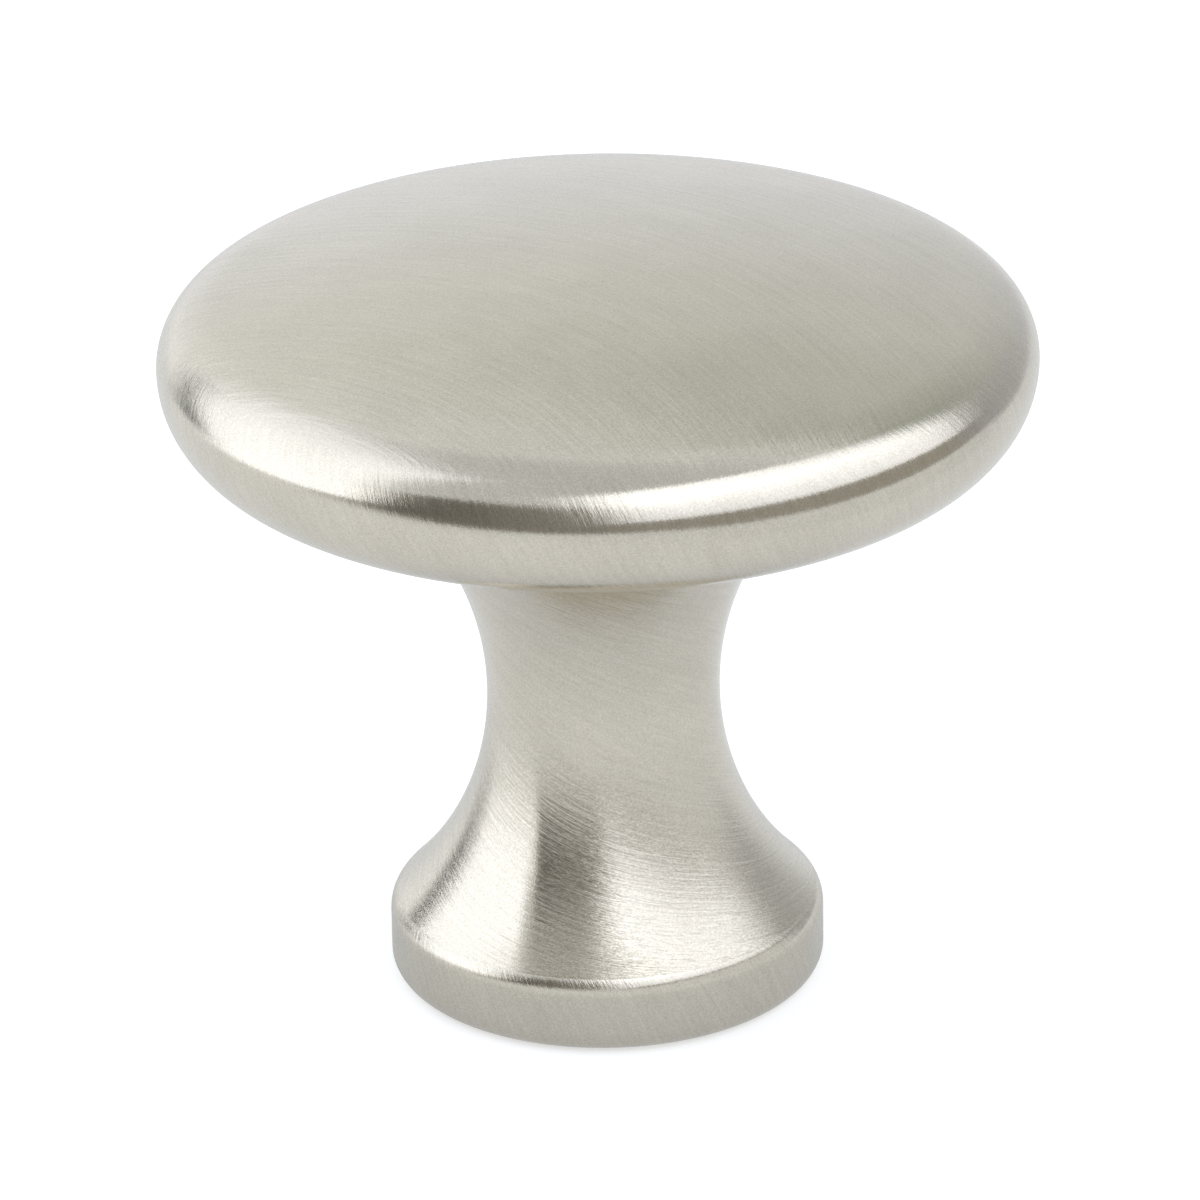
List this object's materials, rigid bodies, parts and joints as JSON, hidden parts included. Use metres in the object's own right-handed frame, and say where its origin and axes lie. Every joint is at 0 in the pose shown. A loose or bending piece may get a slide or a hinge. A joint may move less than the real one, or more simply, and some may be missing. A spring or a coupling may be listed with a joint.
{
  "type": "cabinet knob",
  "caption": "Round mushroom knob for a door or drawer: a crowned head on a waisted stem with a round foot, tapped from below for one screw.",
  "frame": {"origin": "centre of the foot, on the face that meets the door", "axes": "+Z along the axis of symmetry, from the foot to the head"},
  "size_m": [0.032, 0.032, 0.0281],
  "materials": {
    "satin_nickel": "brushed satin nickel plate on cast zinc"
  },
  "bodies": {
    "root": {"knob": "satin_nickel"}
  },
  "joints": []
}
